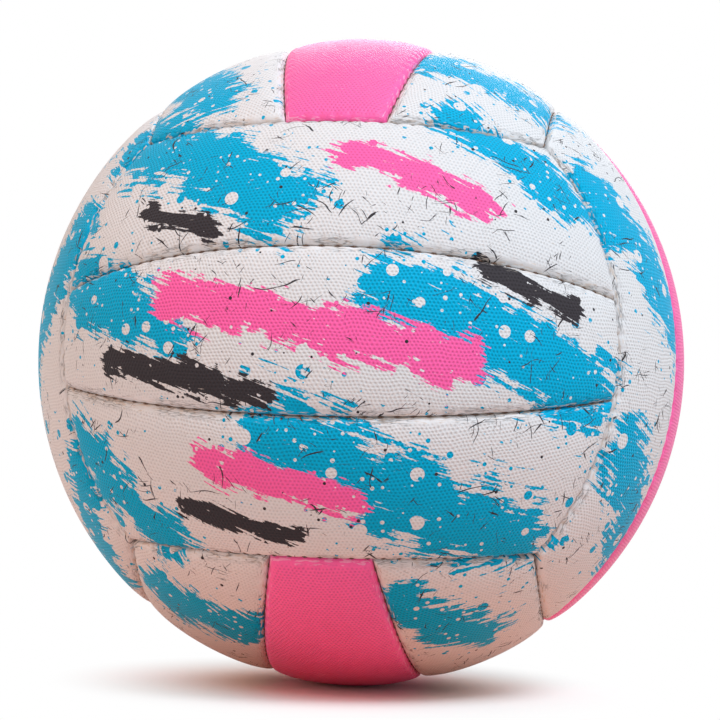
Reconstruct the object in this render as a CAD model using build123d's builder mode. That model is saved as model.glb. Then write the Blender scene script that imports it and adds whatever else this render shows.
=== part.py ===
"""A netball: eighteen flanged rubber panels on cloth backings, sewn over a bladder with a needle valve.

Millimetres. The origin is the ball's centre, +Z is up and the front strips face -Y.
The valve looks out of the back middle panel, along +Y.
"""

import os
from math import acos, atan2, cos, degrees, hypot, pi, radians, sin, sqrt

from build123d import *

# Ball and seam layout
ball_circumference = 700.0
inner_seam_angle = 13.2
border_seam_angle = 37.2

# Panel and backing walls
cover_thickness = 1.2
backing_thickness = 0.9
flange_depth = 5.0
edge_roll = 2.0
corner_radius = 2.6

# Sewing
thread_diameter = 0.8
thread_end_gap = 1.5

# Bladder
bladder_thickness = 0.7

# Valve housing, bonded to the bladder
housing_flange_diameter = 30.0
housing_flange_thickness = 1.6
housing_stem_diameter = 11.0
housing_tail_length = 9.0
housing_bore_diameter = 6.4
valve_recess = 0.4

# Valve plug, pushed into the housing
plug_head_diameter = 8.4
plug_head_thickness = 1.0
plug_bulb_diameter = 8.8
plug_bulb_length = 5.0
needle_bore_diameter = 2.0
needle_bore_depth = 14.0
needle_funnel_diameter = 3.6
needle_funnel_depth = 0.8

# Clearances
seam_gap = 0.3
layer_gap = 0.05
bladder_gap = 0.3
thread_gap = 0.1
valve_gap = 0.1

# Sizes that follow from those above
ball_radius = ball_circumference / (2 * pi)
rim_radius = ball_radius - flange_depth
backing_radius = ball_radius - cover_thickness - layer_gap
bladder_radius = rim_radius - bladder_gap
bladder_inner_radius = bladder_radius - bladder_thickness
half_gap = seam_gap / 2
backing_wall = half_gap + cover_thickness + layer_gap

# A border seam is a circle on the ball: it joins two corners where three groups of strips meet,
# and crosses the middle of its group at border_seam_angle. The cone over that circle,
# with its point at the ball's centre, is the wall where two panels are sewn flange to flange.
corner_share = 1 / sqrt(3)
border_rise_v = sin(radians(border_seam_angle)) - corner_share
border_rise_w = cos(radians(border_seam_angle)) - corner_share
border_chord = hypot(border_rise_v, border_rise_w)
axis_v = border_rise_w / border_chord
axis_w = -border_rise_v / border_chord
cone_angle = acos((axis_v + axis_w) * corner_share)

# Tools that cut the panels are this much larger than what they cut
cutter_inner_radius = ball_radius * 0.6
cutter_outer_radius = ball_radius * 1.3
cutter_width = ball_radius * 0.5
blank_margin = 5.0
blank_end_angle = border_seam_angle - blank_margin
corner_angle = 45.0

# Each group of three strips: along the strip, outward, then the names of its two outer strips
GROUPS = {
    "front": ((1, 0, 0), (0, -1, 0), ("upper", "lower")),
    "back": ((-1, 0, 0), (0, 1, 0), ("upper", "lower")),
    "top": ((0, -1, 0), (0, 0, 1), ("right", "left")),
    "bottom": ((0, 1, 0), (0, 0, -1), ("right", "left")),
    "right": ((0, 0, 1), (1, 0, 0), ("front", "back")),
    "left": ((0, 0, -1), (-1, 0, 0), ("front", "back")),
}
VALVE_GROUP = "back"


def border_cutter(axis, far_side, wall_offset, cut_outward):
    """The ring that lies on one side of a border seam's cone, its wall moved off the seam."""
    sketch_plane = Plane(origin=(0, 0, 0), x_dir=far_side, z_dir=Vector(far_side).cross(Vector(axis)))
    apex = Vector(0, (1 if cut_outward else -1) * wall_offset / sin(cone_angle))
    slope = Vector(sin(cone_angle), cos(cone_angle))
    width = Vector(cos(cone_angle), -sin(cone_angle)) * (cutter_width if cut_outward else -cutter_width)
    near = apex + slope * cutter_inner_radius
    far = apex + slope * cutter_outer_radius
    with BuildPart() as cutter:
        with BuildSketch(sketch_plane):
            with BuildLine():
                Polyline(near, far, far + width, near + width, close=True)
            make_face()
        revolve(axis=Axis((0, 0, 0), axis))
    return cutter.part


def inner_seam_plane(side):
    """The plane of an inner seam, through the strip's own axis, facing away from the middle strip."""
    angle = radians(inner_seam_angle)
    return Plane(origin=(0, 0, 0), z_dir=(0, side * cos(angle), -sin(angle)))


def strip_block(is_middle, skin_radius, inner_radius, wall_offset, corner, roll):
    """One strip of a group as a solid: along X, across Y and outward Z, walls moved in from the seams.

    The corners are rounded first, then the edge of the skin rolls over into the walls.
    """
    start = -inner_seam_angle - blank_margin if is_middle else inner_seam_angle - blank_margin
    stop = inner_seam_angle + blank_margin if is_middle else corner_angle + blank_margin
    start_plane = Plane(
        origin=(0, 0, 0),
        x_dir=(1, 0, 0),
        z_dir=(0, -cos(radians(start)), sin(radians(start))),
    )
    with BuildPart() as block:
        with BuildSketch(start_plane):
            with BuildLine():
                skin = CenterArc((0, 0), skin_radius, blank_end_angle, 180 - 2 * blank_end_angle)
                inside = CenterArc((0, 0), inner_radius, blank_end_angle, 180 - 2 * blank_end_angle)
                Line(skin @ 0, inside @ 0)
                Line(skin @ 1, inside @ 1)
            make_face()
        revolve(axis=Axis.X, revolution_arc=start - stop)
        for end in (1, -1):
            add(
                border_cutter((end * axis_w, 0, axis_v), (-end * axis_v, 0, axis_w), wall_offset, True),
                mode=Mode.SUBTRACT,
            )
        if is_middle:
            for side in (1, -1):
                split(bisect_by=inner_seam_plane(side).offset(-wall_offset), keep=Keep.BOTTOM)
        else:
            add(
                border_cutter((0, axis_v, axis_w), (0, axis_w, -axis_v), wall_offset, False),
                mode=Mode.SUBTRACT,
            )
            split(bisect_by=inner_seam_plane(1).offset(wall_offset), keep=Keep.TOP)
        if corner > 0:
            shells = block.faces().filter_by(GeomType.SPHERE)
            fillet(block.edges() - shells.edges(), corner)
        if roll > 0:
            skin_face = block.faces().filter_by(GeomType.SPHERE).sort_by(lambda face: face.radius)[-1]
            fillet(skin_face.edges(), roll)
    return block.part


def tray(is_middle, skin_radius, thickness, wall_offset, corner, roll):
    """A strip with its edges turned in towards the ball's centre: skin and flanges of one thickness."""
    outside = strip_block(is_middle, skin_radius, rim_radius, wall_offset, corner, roll)
    hollow = strip_block(
        is_middle,
        skin_radius - thickness,
        rim_radius - flange_depth,
        wall_offset + thickness,
        max(corner - thickness, 0),
        max(roll - thickness, 0),
    )
    with BuildPart() as shell:
        add(outside)
        add(hollow, mode=Mode.SUBTRACT)
    return shell.part


def write(piece, name):
    piece.label = name
    export_step(piece, f"parts/{name}.step")


os.makedirs("parts", exist_ok=True)

# The two strip shapes that all eighteen panels share, each with its backing
backing_corner = corner_radius - cover_thickness - layer_gap
backing_roll = edge_roll - cover_thickness - layer_gap
covers = {}
backings = {}
for middle in (True, False):
    covers[middle] = tray(middle, ball_radius, cover_thickness, half_gap, corner_radius, edge_roll)
    backings[middle] = tray(
        middle, backing_radius, backing_thickness, backing_wall, backing_corner, backing_roll
    )

valve_hole_diameter = housing_stem_diameter + 2 * valve_gap
valve_hole_depth = 2 * flange_depth
for group, (along, outward, outer_names) in GROUPS.items():
    turned = tuple(-part for part in along)
    strips = ((outer_names[0], False, along), ("middle", True, along), (outer_names[1], False, turned))
    for strip, is_middle, strip_along in strips:
        place = Plane(origin=(0, 0, 0), x_dir=strip_along, z_dir=outward)
        has_valve = is_middle and group == VALVE_GROUP
        for layer, shapes in (("panel", covers), ("backing", backings)):
            with BuildPart(place) as strip_piece:
                add(shapes[is_middle])
                if has_valve:
                    with Locations((0, 0, ball_radius)):
                        Hole(valve_hole_diameter / 2, depth=valve_hole_depth)
            write(strip_piece.part, f"{layer}_{group}_{strip}")

# Seam thread: it lies in the groove between two rolled edges, on the seam itself
thread_radius = thread_diameter / 2
thread_drop = edge_roll - sqrt((edge_roll + thread_radius + thread_gap) ** 2 - (half_gap + edge_roll) ** 2)
thread_line_radius = ball_radius - thread_drop
corner_point = Vector(1, 1, 1) * corner_share
border_centre = Vector(0, axis_v, axis_w) * cos(cone_angle)
border_middle = Vector(0, sin(radians(border_seam_angle)), cos(radians(border_seam_angle)))
border_half_arc = (border_middle - border_centre).get_angle(corner_point - border_centre)
across_end = axis_v * cos(radians(inner_seam_angle))
inner_half_arc = degrees(atan2(axis_w, across_end) + acos(cos(cone_angle) / hypot(axis_w, across_end)))
inner_end_angle = degrees(thread_end_gap / thread_line_radius)
border_end_angle = degrees(thread_end_gap / (thread_line_radius * sin(cone_angle)))


def thread_arc(place, axis, middle, opening, half_arc):
    """A round thread on the circle at this angle about the axis, half_arc each way from its middle."""
    seam_axis = Axis(place.origin, place.from_local_coords(Vector(axis)) - place.origin)
    middle_way = place.from_local_coords(Vector(middle)) - place.origin
    start = middle_way.rotate(seam_axis, -half_arc)
    sketch_plane = Plane(origin=place.origin, x_dir=start, z_dir=start.cross(seam_axis.direction))
    with BuildPart() as arc:
        with BuildSketch(sketch_plane):
            with Locations((thread_line_radius * sin(opening), thread_line_radius * cos(opening))):
                Circle(thread_radius)
        revolve(axis=seam_axis, revolution_arc=2 * half_arc)
    return arc.part


lean = radians(inner_seam_angle)
for group, (along, outward, outer_names) in GROUPS.items():
    place = Plane(origin=(0, 0, 0), x_dir=along, z_dir=outward)
    with BuildPart() as seam_thread:
        for side in (1, -1):
            add(
                thread_arc(
                    place,
                    (0, side * axis_v, axis_w),
                    (0, -side * axis_w, axis_v),
                    cone_angle,
                    border_half_arc - border_end_angle,
                )
            )
            add(
                thread_arc(
                    place,
                    (0, side * cos(lean), -sin(lean)),
                    (0, side * sin(lean), cos(lean)),
                    pi / 2,
                    inner_half_arc - inner_end_angle,
                )
            )
    write(seam_thread.part, f"thread_{group}")

# Bladder: a hollow ball turned about the valve's axis, open where the housing's tail passes through
bladder_hole_radius = housing_stem_diameter / 2 + valve_gap
hole_outer_y = sqrt(bladder_radius**2 - bladder_hole_radius**2)
hole_inner_y = sqrt(bladder_inner_radius**2 - bladder_hole_radius**2)
with BuildPart() as bladder:
    with BuildSketch(Plane.XY):
        with BuildLine():
            ThreePointArc((0, -bladder_radius), (bladder_radius, 0), (bladder_hole_radius, hole_outer_y))
            Line((bladder_hole_radius, hole_outer_y), (bladder_hole_radius, hole_inner_y))
            ThreePointArc(
                (bladder_hole_radius, hole_inner_y), (bladder_inner_radius, 0), (0, -bladder_inner_radius)
            )
            Line((0, -bladder_inner_radius), (0, -bladder_radius))
        make_face()
    revolve(axis=Axis.Y)
write(bladder.part, "bladder")

# Valve housing: a domed flange on the bladder, a stem up through the panel and a tail inside
valve_face_y = ball_radius - valve_recess
seat_y = valve_face_y - plug_head_thickness
flange_low_radius = bladder_radius + layer_gap
flange_high_radius = flange_low_radius + housing_flange_thickness
flange_edge = housing_flange_diameter / 2
stem_edge = housing_stem_diameter / 2
bore_edge = housing_bore_diameter / 2
seat_edge = plug_head_diameter / 2 + valve_gap
tail_y = bladder_inner_radius - housing_tail_length
with BuildPart() as valve_housing:
    with BuildSketch(Plane.XY):
        with BuildLine():
            Polyline(
                (stem_edge, sqrt(flange_high_radius**2 - stem_edge**2)),
                (stem_edge, valve_face_y),
                (seat_edge, valve_face_y),
                (seat_edge, seat_y),
                (bore_edge, seat_y),
                (bore_edge, tail_y),
                (stem_edge, tail_y),
                (stem_edge, sqrt(flange_low_radius**2 - stem_edge**2)),
            )
            low_edge = (flange_edge, sqrt(flange_low_radius**2 - flange_edge**2))
            high_edge = (flange_edge, sqrt(flange_high_radius**2 - flange_edge**2))
            RadiusArc((stem_edge, sqrt(flange_low_radius**2 - stem_edge**2)), low_edge, flange_low_radius)
            Line(low_edge, high_edge)
            RadiusArc(high_edge, (stem_edge, sqrt(flange_high_radius**2 - stem_edge**2)), -flange_high_radius)
        make_face()
    revolve(axis=Axis.Y)
write(valve_housing.part, "valve_housing")

# Valve plug: a head in the housing's seat, a shank, and a bulb that holds it behind the tail
shank_edge = bore_edge - layer_gap
head_edge = plug_head_diameter / 2
bulb_edge = plug_bulb_diameter / 2
bulb_y = tail_y - layer_gap
bulb_end_y = bulb_y - plug_bulb_length
needle_edge = needle_bore_diameter / 2
funnel_edge = needle_funnel_diameter / 2
needle_mouth_y = valve_face_y - needle_funnel_depth
needle_end_y = needle_mouth_y - needle_bore_depth
with BuildPart() as valve_plug:
    with BuildSketch(Plane.XY):
        with BuildLine():
            Polyline(
                (funnel_edge, valve_face_y),
                (head_edge, valve_face_y),
                (head_edge, seat_y + layer_gap),
                (shank_edge, seat_y + layer_gap),
                (shank_edge, bulb_y),
                (bulb_edge, bulb_y),
                (shank_edge, bulb_end_y),
                (0, bulb_end_y),
                (0, needle_end_y),
                (needle_edge, needle_end_y),
                (needle_edge, needle_mouth_y),
                close=True,
            )
        make_face()
    revolve(axis=Axis.Y)
write(valve_plug.part, "valve_plug")
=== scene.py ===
"""A netball's looks: pimpled rubber strips with rolled, stitched edges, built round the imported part.

Metres, in the part's own frame: the ball's centre is the origin and the front strips face -Y.
"""

from math import acos, atan2, cos, hypot, pi, radians, sin, sqrt

import bpy
import numpy as np
from mathutils import Matrix, Vector


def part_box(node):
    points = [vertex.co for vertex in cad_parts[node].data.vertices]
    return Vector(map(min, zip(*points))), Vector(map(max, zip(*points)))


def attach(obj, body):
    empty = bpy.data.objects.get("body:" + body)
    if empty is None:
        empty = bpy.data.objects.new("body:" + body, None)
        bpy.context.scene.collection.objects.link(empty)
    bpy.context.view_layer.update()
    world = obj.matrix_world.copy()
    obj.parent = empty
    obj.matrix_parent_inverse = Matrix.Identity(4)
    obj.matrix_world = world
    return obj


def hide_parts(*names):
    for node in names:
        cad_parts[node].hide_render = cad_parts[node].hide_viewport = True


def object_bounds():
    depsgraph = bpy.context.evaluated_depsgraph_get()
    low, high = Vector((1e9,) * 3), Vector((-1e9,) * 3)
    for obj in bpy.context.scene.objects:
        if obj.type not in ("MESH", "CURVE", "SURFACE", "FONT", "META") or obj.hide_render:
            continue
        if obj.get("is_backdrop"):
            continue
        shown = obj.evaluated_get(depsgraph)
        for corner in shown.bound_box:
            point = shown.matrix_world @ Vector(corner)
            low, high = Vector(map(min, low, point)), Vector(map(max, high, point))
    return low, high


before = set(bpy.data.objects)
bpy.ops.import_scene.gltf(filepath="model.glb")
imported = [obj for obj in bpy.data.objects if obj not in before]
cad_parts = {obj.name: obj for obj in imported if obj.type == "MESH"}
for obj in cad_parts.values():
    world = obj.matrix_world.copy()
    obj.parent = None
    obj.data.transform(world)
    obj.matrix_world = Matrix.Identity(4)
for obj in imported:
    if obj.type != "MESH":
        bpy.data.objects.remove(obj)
CAD_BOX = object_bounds()

bl_info = {
    "name": "Stitched Netball",
    "version": (1, 0, 0),
    "blender": (4, 5, 0),
    "location": "View3D > Sidebar > Netball",
    "description": "Dresses a netball: rubber strips, seam thread, valve and a pale studio",
    "category": "Add Mesh",
}

MM = 0.001
BALL_RADIUS = (CAD_BOX[1].z - CAD_BOX[0].z) / 2
BODY = "root"
CENTRE = (0.0, 0.0, 0.0)

# Each group of three strips: along the strip, outward, and the names of its two outer strips
GROUPS = {
    "front": ((1, 0, 0), (0, -1, 0), ("upper", "lower")),
    "back": ((-1, 0, 0), (0, 1, 0), ("upper", "lower")),
    "top": ((0, -1, 0), (0, 0, 1), ("right", "left")),
    "bottom": ((0, 1, 0), (0, 0, -1), ("right", "left")),
    "right": ((0, 0, 1), (1, 0, 0), ("front", "back")),
    "left": ((0, 0, -1), (-1, 0, 0), ("front", "back")),
}
PINK_GROUPS = ("top", "bottom", "right", "left")
VALVE_PANEL = "back_middle"


class NetballSizes(bpy.types.PropertyGroup):
    """Sizes of the ball's visible pieces"""

    ball_radius: bpy.props.FloatProperty(
        name="Ball radius",
        description="From the ball's centre to a panel's skin",
        default=BALL_RADIUS,
        unit="LENGTH",
    )
    inner_seam_angle: bpy.props.FloatProperty(
        name="Inner seam",
        description="Half the middle strip, seen from the centre",
        default=radians(13.2),
        subtype="ANGLE",
    )
    border_seam_angle: bpy.props.FloatProperty(
        name="Border seam",
        description="From a group's middle to its long border",
        default=radians(37.2),
        subtype="ANGLE",
    )
    wall_gap: bpy.props.FloatProperty(
        name="Wall gap", description="From a seam to each of its flanges", default=0.06 * MM, unit="LENGTH"
    )
    cover_thickness: bpy.props.FloatProperty(
        name="Cover thickness", description="Rubber of skin and flange", default=1.2 * MM, unit="LENGTH"
    )
    flange_depth: bpy.props.FloatProperty(
        name="Flange depth", description="From the skin to its edge", default=5.0 * MM, unit="LENGTH"
    )
    edge_roll: bpy.props.FloatProperty(
        name="Edge roll", description="Radius where skin turns into seam", default=2.0 * MM, unit="LENGTH"
    )
    crown_rise: bpy.props.FloatProperty(
        name="Crown rise", description="How far a strip's middle swells out", default=0.6 * MM, unit="LENGTH"
    )
    crown_drop: bpy.props.FloatProperty(
        name="Crown drop", description="How far a strip falls to its seams", default=1.5 * MM, unit="LENGTH"
    )
    crown_reach: bpy.props.FloatProperty(
        name="Crown reach", description="How far in from a seam it falls", default=5.0 * MM, unit="LENGTH"
    )
    stitch_pitch: bpy.props.FloatProperty(
        name="Stitch pitch", description="From stitch to stitch in a seam", default=4.8 * MM, unit="LENGTH"
    )
    pucker_depth: bpy.props.FloatProperty(
        name="Pucker depth", description="How far a stitch pulls in", default=0.5 * MM, unit="LENGTH"
    )
    pucker_reach: bpy.props.FloatProperty(
        name="Pucker reach", description="How far in a pucker runs", default=2.6 * MM, unit="LENGTH"
    )
    thread_diameter: bpy.props.FloatProperty(
        name="Thread", description="Diameter of the seam thread", default=0.8 * MM, unit="LENGTH"
    )
    dot_pitch: bpy.props.FloatProperty(
        name="Dot pitch", description="From dot to dot in a grip row", default=1.25 * MM, unit="LENGTH"
    )


class NetballColours(bpy.types.PropertyGroup):
    """Colours of the ball's finishes, as sRGB hex values"""

    white: bpy.props.StringProperty(
        name="White rubber", description="Ground of the printed strips", default="E1E2E3"
    )
    blue: bpy.props.StringProperty(name="Blue ink", description="Brushed print", default="00AFDB")
    pink: bpy.props.StringProperty(
        name="Pink rubber", description="Plain strips and pink ink", default="FF68AE"
    )
    charcoal: bpy.props.StringProperty(
        name="Charcoal ink", description="Dark strokes, scratches and specks", default="3B383C"
    )
    scuff: bpy.props.StringProperty(
        name="Scuffed edge", description="Worn print beside a seam", default="D9CFC6"
    )
    pink_scuff: bpy.props.StringProperty(
        name="Scuffed pink", description="Worn pink rubber", default="FFA6CE"
    )
    thread: bpy.props.StringProperty(name="Thread", description="Waxed seam thread", default="755846")
    cloth: bpy.props.StringProperty(name="Backing cloth", description="Woven backing", default="D8CFBC")
    black_rubber: bpy.props.StringProperty(
        name="Black rubber", description="Bladder and valve", default="232325"
    )


# Nodes and materials

# Sockets of a Mix node: two colours and the mixed colour, two values and the mixed value
COLOUR_A, COLOUR_B, MIXED_COLOUR = 6, 7, 2
VALUE_A, VALUE_B, MIXED_VALUE = 2, 3, 0

# A wave texture of scale 1 repeats after this length
WAVE_PERIOD = pi / 10

# Scratches of the print: direction in degrees, length and width in millimetres
SCRATCHES = ((86, 15.0, 1.05), (11, 22.0, 0.9), (52, 12.0, 1.1), (-40, 11.0, 1.05))


def linear(hex_value):
    """An sRGB hex value as linear red, green, blue and alpha."""
    shares = [int(hex_value[at:at + 2], 16) / 255 for at in (0, 2, 4)]
    return [c / 12.92 if c <= 0.04045 else ((c + 0.055) / 1.055) ** 2.4 for c in shares] + [1.0]


def put(tree, kind, inputs=None, **settings):
    """Adds a shader node. An input takes a value, a socket, or a node for its first output."""
    made = tree.nodes.new("ShaderNode" + kind)
    for name, value in settings.items():
        setattr(made, name, value)
    for key, value in (inputs or {}).items():
        if isinstance(value, bpy.types.Node):
            value = value.outputs[0]
        if isinstance(value, bpy.types.NodeSocket):
            tree.links.new(value, made.inputs[key])
        else:
            made.inputs[key].default_value = value
    return made


def new_material(name):
    """An empty material with its output and principled shader joined."""
    made = bpy.data.materials.new(name)
    made.use_nodes = True
    tree = made.node_tree
    tree.nodes.clear()
    shader = put(tree, "BsdfPrincipled")
    put(tree, "OutputMaterial", {"Surface": shader})
    return made, tree, shader


def strip_coordinates(tree):
    """A strip's flat coordinates and the distance from its edge, both in millimetres."""
    place = put(tree, "UVMap", uv_map="UVMap").outputs["UV"]
    edge = put(tree, "Attribute", attribute_name="edge_mm").outputs["Fac"]
    return place, edge


def wavering(tree, place, sway_mm, length_mm):
    """Flat coordinates pushed aside a little, in waves of about this length."""
    noise = put(
        tree, "TexNoise", {"Vector": place, "Scale": 1 / length_mm, "Detail": 1.0}, noise_dimensions="2D"
    )
    reach = (sway_mm, sway_mm, 0.0)
    return put(
        tree, "VectorMath", {0: noise.outputs["Color"], 1: reach, 2: place}, operation="MULTIPLY_ADD"
    )


def streaked_noise(tree, place, degrees, length_mm, width_mm, detail, roughness=0.5):
    """Noise drawn out in one direction: marks of about this length and width."""
    turned = put(
        tree,
        "Mapping",
        {"Vector": place, "Rotation": (0.0, 0.0, radians(degrees)), "Scale": (length_mm, width_mm, 1.0)},
        vector_type="TEXTURE",
    )
    return put(
        tree,
        "TexNoise",
        {"Vector": turned, "Scale": 1.0, "Detail": detail, "Roughness": roughness},
        noise_dimensions="2D",
    )


def seam_noise(tree, place, edge, length_mm, width_mm):
    """Noise drawn out along the nearest seam: marks of about this length along it and this width off it."""
    scale = (1 / length_mm, 1 / length_mm, 0.0)
    along = put(tree, "VectorMath", {0: place, 1: scale}, operation="MULTIPLY")
    depth = put(tree, "Math", {0: edge, 1: 1 / width_mm}, operation="MULTIPLY")
    inward = put(tree, "CombineXYZ", {"Z": depth})
    where = put(tree, "VectorMath", {0: along, 1: inward}, operation="ADD")
    return put(tree, "TexNoise", {"Vector": where, "Scale": 1.0, "Detail": 2.5})


def grip_dots(tree, place, edge, pitch_mm):
    """Dots pressed in, in staggered rows that waver a little: 1 in a dot's middle and 0 between dots."""
    row_mm = pitch_mm * sqrt(3)
    dot_mm = pitch_mm * 0.47
    bare_edge_mm = 1.2
    full_grip_mm = 3.0
    moved = wavering(tree, place, sway_mm=1.6, length_mm=9.0)
    distances = []
    for stagger in ((0.0, 0.0, 0.0), (0.5, 0.5, 0.0)):
        cells = put(
            tree,
            "VectorMath",
            {0: moved, 1: (1 / pitch_mm, 1 / row_mm, 0.0), 2: stagger},
            operation="MULTIPLY_ADD",
        )
        inside = put(tree, "VectorMath", {0: cells}, operation="FRACTION")
        centred = put(
            tree,
            "VectorMath",
            {0: inside, 1: (pitch_mm, row_mm, 0.0), 2: (-pitch_mm / 2, -row_mm / 2, 0.0)},
            operation="MULTIPLY_ADD",
        )
        distances.append(put(tree, "VectorMath", {0: centred}, operation="LENGTH").outputs["Value"])
    nearest = put(tree, "Math", {0: distances[0], 1: distances[1]}, operation="MINIMUM")
    dot = put(
        tree,
        "MapRange",
        {"Value": nearest, "From Min": dot_mm, "From Max": 0.0},
        interpolation_type="SMOOTHSTEP",
    )
    fade = put(
        tree,
        "MapRange",
        {"Value": edge, "From Min": bare_edge_mm, "From Max": full_grip_mm, "To Min": 0.1, "To Max": 1.0},
    )
    return put(tree, "Math", {0: dot, 1: fade}, operation="MULTIPLY")


def roll_creases(tree, place, edge):
    """Fine creases that run along a seam where the skin rolls over, 1 in a crease."""
    patch_mm = 14.0
    creased_mm = 1.8
    smooth_mm = 3.0
    lines = seam_noise(tree, place, edge, length_mm=5.5, width_mm=0.6)
    ridge = put(tree, "Math", {0: lines, 1: 0.5}, operation="SUBTRACT")
    width = put(tree, "Math", {0: ridge}, operation="ABSOLUTE")
    crease = put(tree, "MapRange", {"Value": width, "From Min": 0.05, "From Max": 0.005})
    patches = put(
        tree, "TexNoise", {"Vector": place, "Scale": 1 / patch_mm, "Detail": 2.0}, noise_dimensions="2D"
    )
    here = put(tree, "MapRange", {"Value": patches, "From Min": 0.38, "From Max": 0.54})
    near = put(tree, "MapRange", {"Value": edge, "From Min": smooth_mm, "From Max": creased_mm})
    share = put(tree, "Math", {0: here, 1: near}, operation="MULTIPLY")
    return put(tree, "Math", {0: crease, 1: share}, operation="MULTIPLY")


def finish_rubber(tree, shader, colour, scuff, place, edge, pitch_mm, crease_share, painted_pit_shade):
    """Scuffs along the seam, painted shade that darkens the dots and creases, and the moulded relief as a
    bump.
    """
    worn_edge_mm = 0.2
    whole_skin_mm = 2.8
    crease_shade = 0.52 * crease_share
    crease_depth = 0.5 * crease_share
    grain_mm = 0.7
    grain_share = 0.16
    relief_mm = 0.20
    dots = grip_dots(tree, place, edge, pitch_mm)
    crease = roll_creases(tree, place, edge)
    flecks = seam_noise(tree, place, edge, length_mm=3.2, width_mm=0.5)
    hold = put(
        tree,
        "MapRange",
        {
            "Value": edge,
            "From Min": worn_edge_mm,
            "From Max": whole_skin_mm,
            "To Min": 0.485,
            "To Max": 0.72,
        },
    )
    over = put(tree, "Math", {0: flecks, 1: hold}, operation="SUBTRACT")
    worn = put(tree, "MapRange", {"Value": over, "From Max": 0.06, "To Max": 0.88})
    scuffed = put(
        tree, "Mix", {"Factor": worn, COLOUR_A: colour, COLOUR_B: linear(scuff)}, data_type="RGBA"
    )
    # Painted shade: the middle of each pressed-in dot is darkened by this share, as shade in the pit
    dark = put(tree, "Math", {0: dots, 1: painted_pit_shade}, operation="MULTIPLY")
    pit_shade_painted = put(tree, "Math", {0: 1.0, 1: dark}, operation="SUBTRACT")
    # Painted shade: the creases are darkened in the colour, as shade in them, besides their bump
    crease_shade_painted = put(tree, "MapRange", {"Value": crease, "To Min": 1.0, "To Max": 1.0 - crease_shade})
    shade = put(tree, "Math", {0: pit_shade_painted, 1: crease_shade_painted}, operation="MULTIPLY")
    shaded = put(
        tree,
        "Mix",
        {"Factor": 1.0, COLOUR_A: scuffed.outputs[MIXED_COLOUR], COLOUR_B: shade},
        data_type="RGBA",
        blend_type="MULTIPLY",
    )
    tree.links.new(shaded.outputs[MIXED_COLOUR], shader.inputs["Base Color"])
    grain = put(
        tree, "TexNoise", {"Vector": place, "Scale": 1 / grain_mm, "Detail": 3.0}, noise_dimensions="2D"
    )
    high = put(tree, "Math", {0: 1.0, 1: dots}, operation="SUBTRACT")
    rough = put(tree, "Math", {0: grain, 1: grain_share, 2: high}, operation="MULTIPLY_ADD")
    relief = put(tree, "Math", {0: crease, 1: -crease_depth, 2: rough}, operation="MULTIPLY_ADD")
    bump = put(tree, "Bump", {"Height": relief, "Distance": relief_mm * MM, "Strength": 1.0})
    tree.links.new(bump.outputs["Normal"], shader.inputs["Normal"])


def ragged_edge(tree, place):
    """Blots and chips, and the streaks of a dry brush along one slanting direction, added up."""
    blot_mm = 12.0
    roughness = 0.62
    blots = put(
        tree,
        "TexNoise",
        {"Vector": place, "Scale": 1 / blot_mm, "Detail": 7.0, "Roughness": roughness},
        noise_dimensions="2D",
    )
    streaks = streaked_noise(tree, place, -21, length_mm=22.0, width_mm=1.5, detail=4.0, roughness=roughness)
    return put(tree, "Math", {0: blots, 1: streaks}, operation="ADD")


def round_dots(tree, place, cell_mm, largest, chance, least, randomness):
    """Dots in some cells of a random grid, 1 on a dot, and a node with three random shares for each cell.

    A cell has a dot where its share named chance is above the least, and the higher the larger.
    """
    cells = put(
        tree,
        "TexVoronoi",
        {"Vector": place, "Scale": 1 / cell_mm, "Randomness": randomness},
        voronoi_dimensions="2D",
    )
    shares = put(tree, "SeparateColor", {"Color": cells.outputs["Color"]})
    size = put(tree, "MapRange", {"Value": shares.outputs[chance], "From Min": least, "To Max": largest})
    dots = put(tree, "Math", {0: cells.outputs["Distance"], 1: size}, operation="LESS_THAN")
    return dots, shares


def spatter(tree, place, cell_mm, largest):
    """Round drops at random: below 0 where a drop leaves the ground bare, above 0 where one lands on it."""
    drops, shares = round_dots(tree, place, cell_mm, largest, chance="Red", least=0.5, randomness=0.75)
    lands = put(tree, "Math", {0: shares.outputs["Green"], 1: 0.5}, operation="GREATER_THAN")
    value = put(tree, "MapRange", {"Value": lands, "To Min": -1.2, "To Max": 0.8})
    return put(tree, "Math", {0: drops, 1: value}, operation="MULTIPLY")


def crossed_scratches(tree, place):
    """Thin marks, bent a little, that cross each other in clusters, clean rubber between: 1 on a mark."""
    cluster_mm = 20.0
    cutoff = 0.712
    bent = wavering(tree, place, sway_mm=5.5, length_mm=13.0)
    crossed = 0.0
    for degrees, length_mm, width_mm in SCRATCHES:
        noise = streaked_noise(tree, bent, degrees, length_mm, width_mm, detail=3.0)
        marks = put(tree, "Math", {0: noise, 1: cutoff}, operation="GREATER_THAN")
        crossed = put(tree, "Math", {0: crossed, 1: marks}, operation="MAXIMUM")
    clusters = put(
        tree, "TexNoise", {"Vector": place, "Scale": 1 / cluster_mm, "Detail": 2.0}, noise_dimensions="2D"
    )
    here = put(tree, "MapRange", {"Value": clusters, "From Min": 0.51, "From Max": 0.54})
    return put(tree, "Math", {0: crossed, 1: here}, operation="MULTIPLY")


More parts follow.
